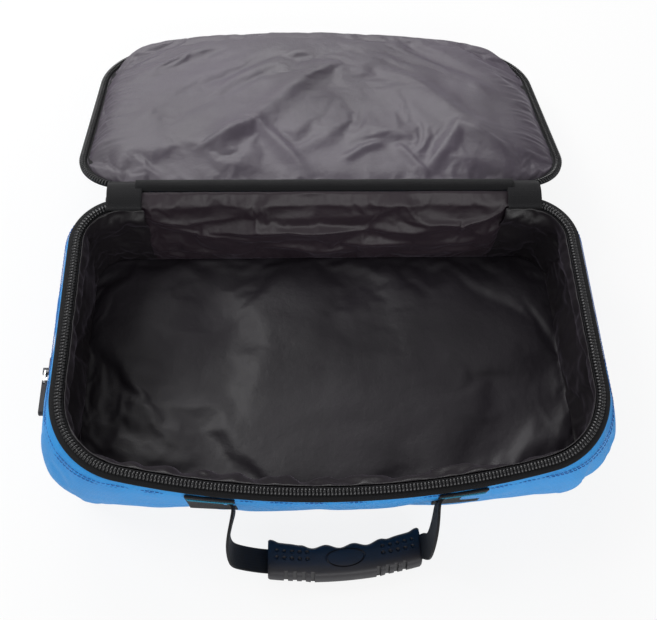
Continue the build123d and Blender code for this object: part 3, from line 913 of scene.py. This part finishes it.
# handle: a length of webbing each side, and the moulded grip
strap = {"width": 20.0, "thick": 2.0, "reach": 67.0}
slope = asin((pivotZ - 14.1) / strap["reach"])
grip = {"half": 61.0, "height": 26.0, "depth": 19.0, "around": 72, "along": 170, "arch": 7.0,
        "shift": 8.5, "lean": 0.06, "back": 8.0}


def onHandle(x, down, out):
    # a point in the handle's plane: down is the distance from its pivot line, out is off that plane
    y = pivotY - down * cos(slope) - out * sin(slope)
    z = pivotZ - down * sin(slope) + out * cos(slope)
    return np.stack([x + 0 * y, y + 0 * x, z + 0 * x], 1)


def gripAxis(x):
    # how far the bowed grip lies off the handle's plane
    return grip["arch"] * (1 - (x / grip["half"]) ** 2) - grip["back"] - grip["lean"] * x


def skinPoint(x, z, lift):
    # a point on the front wall, lifted off it
    sizes = tubSize(z)
    y = np.empty(len(x))
    for index in range(len(x)):
        size = [float(s[index]) for s in sizes]
        y[index] = frontEdge(size, -lift, x[index : index + 1])[0][0]
    return np.stack([x, backY + y, z], 1)


def strapSide(side, name):
    endX = side * (grip["half"] - 8) + grip["shift"]
    endOut = float(gripAxis(np.array([side * (grip["half"] - 8.0)]))[0])
    ahead = onHandle(np.array([endX]), np.array([strap["reach"] - 1.5]), np.array([endOut]))[0]
    bow = 7.0 if side < 0 else -1.0
    rootY = [skinPoint(np.array([float(x)]), np.array([78.0]), 1.6)[0][1] for x in (side * 96, side * 82)]
    route = [
        ((side * 96, rootY[0], 78), 0.0), ((side * 82, rootY[1], 78), 0.0),
        ((side * 75.5, rootY[1] - 3.0, 78), 0.05), ((side * (75 + bow * 0.4), pivotY + 3, 73), 0.25),
        ((side * (75 + bow), pivotY - 7, 54), 0.5), ((side * (74 + bow), pivotY - 13, 34), 0.8),
        ((side * (72 + bow * 0.4), ahead[1] + 3, ahead[2] + 9), 0.95),
        ((mix(side * 72, endX, 0.45), ahead[1] + 1, ahead[2] + 1.5), 1.0), (tuple(ahead), 1.0),
    ]
    marks = np.linspace(0, 1, len(route))
    fine = np.linspace(0, 1, 110)
    path = np.array([spot for spot, _ in route], float)
    line = np.stack([np.interp(fine, marks, path[:, k]) for k in range(3)], 1)
    for _ in range(60):
        line[1:-1] = line[1:-1] * 0.5 + (line[:-2] + line[2:]) * 0.25
    turn = smooth(0, 1, np.interp(fine, marks, [share for _, share in route]))
    ways = unit(np.gradient(line, axis=0))
    wallRun = skinPoint(np.array([side * 85.0] * 2), np.array([69.0, 88.0]), 1.6)
    upright = wallRun[1] - wallRun[0]
    upright = upright / np.linalg.norm(upright)
    flatWay = np.array([0, -sin(slope), cos(slope)])
    wide = mix(upright[None, :], flatWay[None, :], turn[:, None])
    wide = unit(wide - (wide * ways).sum(1)[:, None] * ways)

    def place(u, v):
        centre = np.stack([np.interp(u, fine, line[:, k]) for k in range(3)], 1)
        edge = np.stack([np.interp(u, fine, wide[:, k]) for k in range(3)], 1)
        return centre + edge * ((v - 0.5) * strap["width"])[:, None]

    piece = cloth(name, 110, 8, (150, strap["width"]), place)
    thicken(piece, strap["thick"], 0)
    apply(piece, "BEVEL", width=0.5 * mm, segments=2, limit_method="ANGLE")
    dress(piece, "webbing")
    (pivotY - 5) * mm
    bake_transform(piece)
    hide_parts("strap_root_left" if side < 0 else "strap_root_right", "handle_webbing")
    return piece


for side, sideName in ((-1, "Left"), (1, "Right")):
    strapSide(side, "handleStrap" + sideName)


def gripPlace(u, v):
    x = (u * 2 - 1) * grip["half"]
    angle = v * 2 * pi
    far = np.abs(x) / grip["half"]
    wide = grip["height"] / 2 * mix(0.97, 1.08, far**2)
    thick = grip["depth"] / 2 * mix(1.0, 0.9, far**3)
    c = np.cos(angle)
    s = np.sin(angle)
    power = 0.66
    out = np.sign(c) * np.abs(c) ** power
    down = np.sign(s) * np.abs(s) ** power * thick
    # three finger scallops on the edge beside the bag, between the two square ends
    inner = smooth(0.2, 0.95, -out)
    wave = np.cos((x + 4) / 22.0 * 2 * pi) * smooth(38, 30, np.abs(x))
    lip = 1.6 * smooth(52, 58, np.abs(x))
    out = out * wide + inner * (1.5 * wave - 1.2 * smooth(30, 44, np.abs(x))) - inner * lip
    out = out + smooth(0.3, 0.95, c) * (0.8 * smooth(34, 26, np.abs(x)))
    rim = 1 - 0.06 * smooth(0.975, 1.0, far)
    return onHandle(x + grip["shift"], strap["reach"] - 1.5 + down * rim, out * rim + gripAxis(x))


gripBody = cloth("gripBody", grip["along"], grip["around"], (122, 78), gripPlace, closed=True)
makeActive(gripBody)
bpy.ops.object.mode_set(mode="EDIT")
bpy.ops.mesh.select_mode(type="EDGE")
bpy.ops.mesh.select_all(action="DESELECT")
bpy.ops.mesh.select_non_manifold()
bpy.ops.mesh.edge_face_add()
bpy.ops.object.mode_set(mode="OBJECT")
faceOut(gripBody)
topSide = strap["reach"] - 1.5 - grip["depth"] / 2
pivot = onHandle(np.zeros(1), np.zeros(1), np.zeros(1))[0]
outward = Vector(onHandle(np.zeros(1), np.zeros(1), np.ones(1))[0] - pivot)
downward = Vector(onHandle(np.zeros(1), np.ones(1), np.zeros(1))[0] - pivot)


def gripSpot(x, out, down):
    spot = onHandle(np.array([x + grip["shift"]]), np.array([down]), gripAxis(np.array([x])) + out)
    return Vector(spot[0] * mm)


def cutFrom(piece, cutter):
    apply(piece, "BOOLEAN", operation="DIFFERENCE", object=cutter, solver="EXACT")
    bpy.data.objects.remove(cutter)


cutters = []
gripTurn = Matrix((Vector((1, 0, 0)), outward, downward)).transposed().to_4x4()
for side in (-1, 1):
    for row, out in enumerate((-5.2, 0.6)):
        for step in range(5):
            x = side * (30 + step * 6.0)
            selectNothing()
            bpy.ops.mesh.primitive_uv_sphere_add(segments=12, ring_count=8, radius=1.9 * mm)
            pit = bpy.context.object
            pit.matrix_world = Matrix.Translation(gripSpot(x, out, topSide - 0.1))
            cutters.append(pit)
    for step in range(4):
        selectNothing()
        bpy.ops.mesh.primitive_cube_add(size=1)
        notch = bpy.context.object
        notch.matrix_world = (
            Matrix.Translation(gripSpot(side * (26 + step * 7.0), grip["height"] / 2 + 0.4, topSide + 7))
            @ gripTurn @ Matrix.Diagonal((3.2 * mm, 6.0 * mm, 20 * mm, 1))
        )
        cutters.append(notch)
# an oval groove at the middle of the grip, with nothing inside it
selectNothing()
bpy.ops.mesh.primitive_torus_add(major_segments=64, minor_segments=8, major_radius=1, minor_radius=0.07)
groove = bpy.context.object
ring = coords(groove)
flatX = ring[:, 0] * 15.0
flatOut = ring[:, 1] * 7.4
setCoords(groove, onHandle(flatX + grip["shift"], topSide + 0.035 * np.abs(flatOut) ** 1.5 - ring[:, 2] * 16,
                           flatOut + gripAxis(flatX)) * mm)
faceOut(groove)
cutFrom(gripBody, groove)
cutFrom(gripBody, joinAll(cutters, "gripCutters"))
makeActive(gripBody)
bpy.ops.object.shade_smooth_by_angle(angle=radians(38))
dress(gripBody, "rubber", "handle", hides=("handle_grip",))
print("stage: grip made")

# patches that hold the handle, sewn down with two zigzag rows
patch = {"from": 74.5, "width": 36.0, "low": 54.0, "high": 97.5, "stitches": 34}


def patchPlace(side):
    def place(u, v):
        x = side * mix(patch["from"], patch["from"] + patch["width"], u)
        return skinPoint(x, mix(patch["low"], patch["high"], v), 3.4)
    return place


for side, sideName in ((-1, "Left"), (1, "Right")):
    piece = cloth("handlePatch" + sideName, 20, 18, (patch["width"], 42), patchPlace(side))
    facing(piece, (0, -1, 0.1))
    thicken(piece, 1.6)
    dress(piece, "webbing", "tub", hides=("handle_patch_" + sideName.lower(),))
    for row in (0, 1):
        marks = np.linspace(patch["from"] + 1.5, patch["from"] + patch["width"] - 1.5, patch["stitches"])
        heights = 90.5 - row * 4.0 + 0.9 * (np.arange(patch["stitches"]) % 2)
        zigzag = skinPoint(side * marks, heights, 3.6)
        middles = (zigzag[:-1] + zigzag[1:]) / 2
        stitches(f"patchStitch{sideName}{row}", middles, np.diff(zigzag, axis=0),
                 np.tile([0, -1.0, 0.2], (len(middles), 1)), 1.5, 0.32, "teal_thread", "webbing", "tub")

# two rows of stitching that hold the fabric to the tape
for row in (0, 1):
    first, last = zipSpan(bag["rim"], 0)
    t = np.linspace(first, last, 3000)
    path = tubPoint(t, np.full(3000, 93.5 - row * 3.2), -1.7)
    spots, ways = evenly(path, 3.6)
    outs = (spots - tubMiddle) * [1, 1, 0]
    stitches(f"rimStitch{row}", spots, ways, outs, 2.5, 0.34, "blue_thread", "blue_fabric", "tub")
print("stage: handle made")


# hinge between tub and lid
def hingePlace(u, v):
    x = (u * 2 - 1) * 161.0
    angle = mix(-0.22 * pi, 1.12 * pi, v)
    radius = 5.6
    y = hingeY - radius * np.cos(angle)
    z = rimHeight + radius * np.sin(angle) * 0.9
    sag = ripple(np.stack([x, y, z], 1), 24.0, 12) * 0.5
    return np.stack([x, y, z + sag], 1)


hingeBand = cloth("hingeBand", 120, 14, (316, 30), hingePlace)
facing(hingeBand, (0, 0, 1))
thicken(hingeBand, 1.2)
dress(hingeBand, "zip_tape")
(hingeY - 4) * mm
(hingeY + 4) * mm
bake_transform(hingeBand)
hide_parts("hinge_strip", "back_binding")


def tabPlace(side):
    def place(u, v):
        x = side * mix(155.5, 184.5, u)
        y = mix(backY - 13, hingeY + 9, v)
        z = tapeTop + 4.2 + 4.5 * np.sin(pi * np.clip(v * 1.1 - 0.1, 0, 1)) - smooth(0.7, 1, v) * 4.5
        return np.stack([x, y, z], 1)
    return place


for side, sideName in ((-1, "Left"), (1, "Right")):
    piece = cloth("zipEndTab" + sideName, 16, 18, (26, 30), tabPlace(side))
    facing(piece, (0, 0, 1))
    thicken(piece, 1.4)
    dress(piece, "zip_tape")
    (hingeY - 5) * mm
    (hingeY + 5) * mm
    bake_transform(piece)
    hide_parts("zip_end_tab_" + sideName.lower())
print("stage: hinge made")

# camera, floor and light
view = {"spot": (-36, -265, 672), "pitch": 63.7, "yaw": -6.9, "roll": 5.5, "lens": 43.8}
selectNothing()
bpy.ops.object.camera_add()
camera = bpy.context.object
camera.name = "camera"
camera.data.lens = view["lens"]
camera.data.sensor_width = 36
camera.data.clip_start = 0.01
pitch, yaw, roll = (radians(view[k]) for k in ("pitch", "yaw", "roll"))
back = Vector((sin(yaw) * cos(pitch), -cos(yaw) * cos(pitch), sin(pitch)))
right = (-back).cross(Vector((0, 0, 1))).normalized()
up = right.cross(-back)
sideways = right * cos(roll) + up * sin(roll)
upward = up * cos(roll) - right * sin(roll)
turned = Matrix((sideways, upward, back)).transposed().to_4x4()
camera.matrix_world = Matrix.Translation(Vector(view["spot"]) * mm) @ turned
bpy.context.scene.camera = camera

bpy.ops.mesh.primitive_plane_add(size=12, location=(0, 0, 0))
ground = bpy.context.object
ground.name = "ground"
groundPaint = Paint("ground")
seen = groundPaint.node("ShaderNodeLightPath", output=0)
glossySeen = Wire(groundPaint, seen.socket.node.outputs["Is Glossy Ray"])
groundPaint.finish(colour=(0.80, 0.80, 0.80), roughness=0.95, specular=0.1)
glow = groundPaint.node("ShaderNodeEmission", {"Color": (1.0, 1.0, 1.0), "Strength": 1.0})
joined = groundPaint.node("ShaderNodeMixShader", {0: (seen + glossySeen).clip() * 0.86, 2: glow})
groundPaint.links.new(groundPaint.shader.outputs[0], joined.socket.node.inputs[1])
groundPaint.links.new(joined.socket, groundPaint.nodes["Material Output"].inputs[0])
ground.data.materials.append(groundPaint.material)

world = bpy.data.worlds.new("studio")
bpy.context.scene.world = world
world.use_nodes = True
world.node_tree.nodes["Background"].inputs[0].default_value = (1, 1, 1, 1)
world.node_tree.nodes["Background"].inputs[1].default_value = 0.42


def lamp(name, spot, aim, size, power):
    selectNothing()
    bpy.ops.object.light_add(type="AREA", location=spot)
    light = bpy.context.object
    light.name = name
    light.data.shape = "RECTANGLE"
    light.data.size = size[0]
    light.data.size_y = size[1]
    light.data.energy = power
    light.rotation_euler = (Vector(spot) - Vector(aim)).to_track_quat("Z", "Y").to_euler()


lamp("backSoftbox", (-0.35, 1.7, 0.95), (0, 0.2, 0.08), (1.6, 0.8), 26)
lamp("keyLight", (-1.1, 0.5, 1.4), (0, 0.1, 0.05), (0.7, 0.7), 12)
lamp("frontFill", (0.3, -1.5, 0.8), (0, -0.05, 0.05), (1.6, 0.7), 13)

scene = bpy.context.scene
scene.view_settings.view_transform = "Standard"
